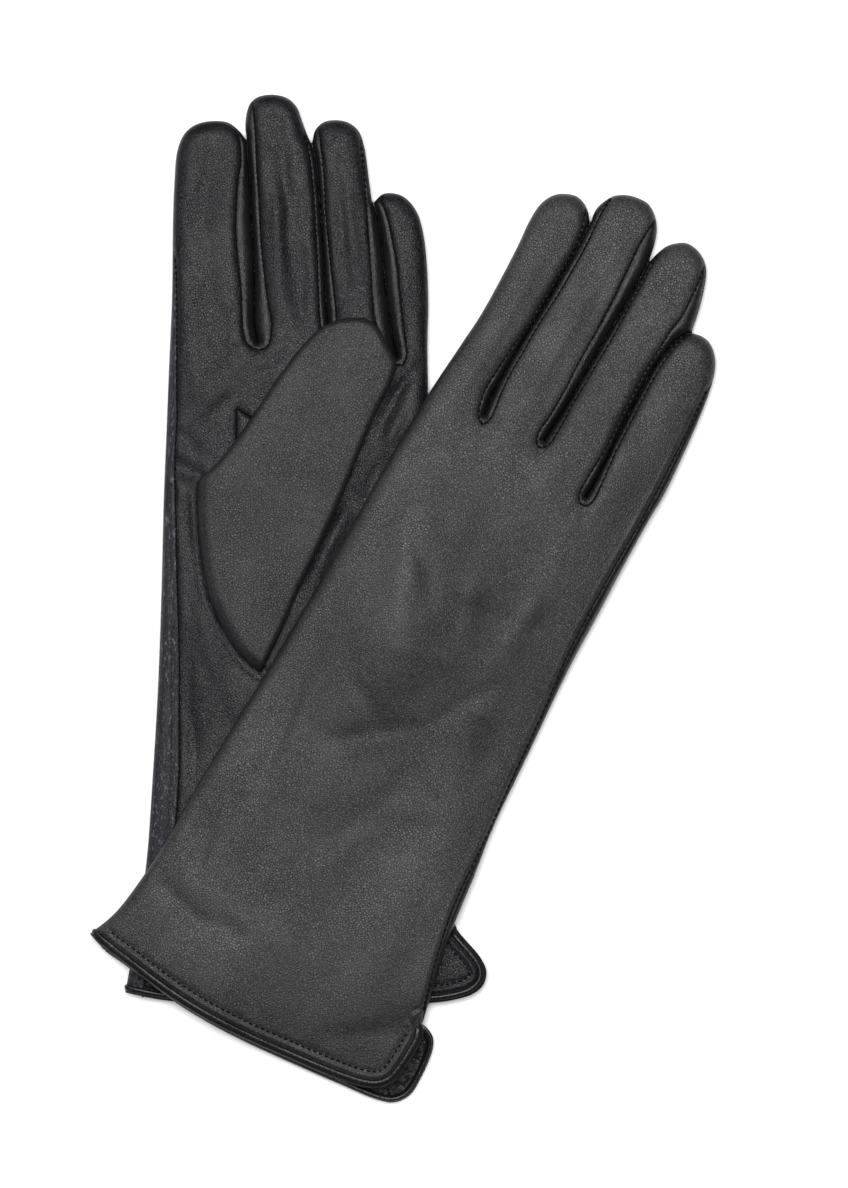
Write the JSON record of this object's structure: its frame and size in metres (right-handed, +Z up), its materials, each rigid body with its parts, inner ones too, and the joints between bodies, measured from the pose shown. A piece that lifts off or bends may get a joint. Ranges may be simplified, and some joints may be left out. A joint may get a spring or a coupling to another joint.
{
  "type": "pair of long leather dress gloves",
  "caption": "Long black leather dress gloves lying flat, one palm up and one back up across its cuff, with sewn-in thumbs, fourchettes, bound flared cuffs and knitted lining.",
  "frame": {"origin": "middle of the pair's footprint, on the surface that it lies on", "axes": "+Y towards the left glove's fingertips, +X across the hands towards the little-finger sides, +Z up"},
  "size_m": [0.2104, 0.337, 0.0228],
  "materials": {
    "back_leather": "smooth black nappa, soft sheen",
    "palm_leather": "creased black nappa, soft sheen",
    "fourchette_leather": "black nappa, satin",
    "thumb_leather": "smooth black nappa, soft sheen",
    "facing_leather": "black leather, matt",
    "binding_leather": "rolled black nappa, satin",
    "knit_lining": "fine black knit, matt"
  },
  "bodies": {
    "left_glove": {"left_back_panel": "back_leather", "left_palm_panel": "palm_leather", "left_fourchette_index_middle": "fourchette_leather", "left_fourchette_middle_ring": "fourchette_leather", "left_fourchette_ring_little": "fourchette_leather", "left_quirk": "palm_leather", "left_lining": "knit_lining", "left_back_facing": "facing_leather", "left_palm_facing": "facing_leather", "left_cuff_binding": "binding_leather"},
    "left_thumb": {"left_thumb": "thumb_leather", "left_thumb_lining": "knit_lining"},
    "right_glove": {"right_back_panel": "back_leather", "right_palm_panel": "palm_leather", "right_fourchette_index_middle": "fourchette_leather", "right_fourchette_middle_ring": "fourchette_leather", "right_fourchette_ring_little": "fourchette_leather", "right_quirk": "palm_leather", "right_lining": "knit_lining", "right_back_facing": "facing_leather", "right_palm_facing": "facing_leather", "right_cuff_binding": "binding_leather"},
    "right_thumb": {"right_thumb": "thumb_leather", "right_thumb_lining": "knit_lining"}
  },
  "joints": [
    {"name": "right_glove_lift", "type": "slide", "parent": "left_glove", "child": "right_glove", "axis": [0, 0, 1], "range_m": [0, 0.15]},
    {"name": "left_thumb_fold", "type": "hinge", "parent": "left_glove", "child": "left_thumb", "pos_m": [-0.05791, 0.00727, 0.00815], "axis": [0.3103, -0.9507, 0], "range_deg": [0, 90]},
    {"name": "right_thumb_fold", "type": "hinge", "parent": "right_glove", "child": "right_thumb", "pos_m": [-0.008, -0.00387, 0.0146], "axis": [0.1465, 0.9892, 0], "range_deg": [0, 86]}
  ],
  "couplings": [
    {"joint": "right_thumb_fold", "follows": "right_glove_lift", "rad_per_m": 10}
  ]
}
